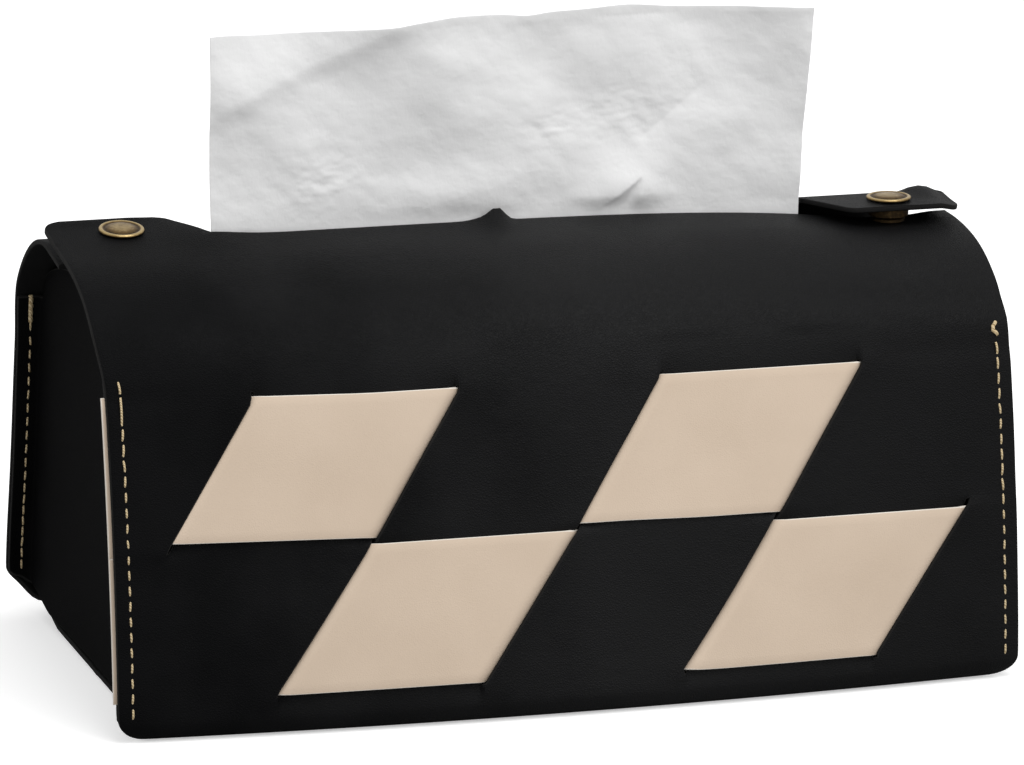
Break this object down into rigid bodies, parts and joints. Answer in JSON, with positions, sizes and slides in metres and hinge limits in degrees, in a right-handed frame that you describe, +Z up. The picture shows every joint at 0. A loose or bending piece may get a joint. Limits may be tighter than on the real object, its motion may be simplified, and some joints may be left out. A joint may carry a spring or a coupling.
{
  "type": "tissue box cover",
  "caption": "Black leather tissue box cover with cream strips woven through its front, sewn end gussets and hinged top flaps closed by snap tabs around a raised tissue.",
  "frame": {"origin": "centre of the cover's footprint, on the surface it stands on", "axes": "+X runs along the cover to its right end, -Y faces the woven front, +Z is up"},
  "size_m": [0.2502, 0.1444, 0.1767],
  "materials": {
    "black_leather": "fine grained black leather cloth with a soft sheen",
    "cream_leather": "smooth matt cream leather cloth",
    "antique_brass": "darkened antique brass, worn bright at the rims",
    "golden_thread": "waxed golden sewing thread",
    "tissue_paper": "soft white tissue paper, faintly embossed"
  },
  "bodies": {
    "cover": {"body_sheet": "black_leather", "left_gusset": "black_leather", "right_gusset": "black_leather", "upper_weave_strip": "cream_leather", "lower_weave_strip": "cream_leather", "front_left_seam_thread": "golden_thread", "front_right_seam_thread": "golden_thread", "back_left_seam_thread": "golden_thread", "back_right_seam_thread": "golden_thread", "tissue_stack": "tissue_paper"},
    "front_flap": {"front_flap": "black_leather", "right_snap_stud": "antique_brass", "right_snap_post": "antique_brass"},
    "left_tab": {"left_tab": "black_leather", "left_snap_cap": "antique_brass", "left_snap_socket": "antique_brass"},
    "back_flap": {"back_flap": "black_leather", "left_snap_stud": "antique_brass", "left_snap_post": "antique_brass"},
    "right_tab": {"right_tab": "black_leather", "right_snap_cap": "antique_brass", "right_snap_socket": "antique_brass"},
    "tissue": {"tissue_sheet": "tissue_paper"}
  },
  "joints": [
    {"name": "front_flap_open", "type": "hinge", "parent": "cover", "child": "front_flap", "pos_m": [0, -0.05122, 0.09673], "axis": [1, 0, 0], "range_deg": [0, 120]},
    {"name": "back_flap_open", "type": "hinge", "parent": "cover", "child": "back_flap", "pos_m": [0, 0.05122, 0.09673], "axis": [-1, 0, 0], "range_deg": [0, 120]},
    {"name": "left_tab_lift", "type": "hinge", "parent": "front_flap", "child": "left_tab", "pos_m": [-0.125, -0.00165, 0.12021], "axis": [1, 0, 0], "range_deg": [0, 90]},
    {"name": "right_tab_lift", "type": "hinge", "parent": "back_flap", "child": "right_tab", "pos_m": [0.125, 0.00155, 0.1202], "axis": [-1, 0, 0], "range_deg": [0, 90]},
    {"name": "tissue_pull", "type": "slide", "parent": "cover", "child": "tissue", "axis": [0, 0, 1], "range_m": [0, 0.038]}
  ],
  "couplings": [
    {"joint": "back_flap_open", "follows": "front_flap_open", "ratio": 1}
  ]
}
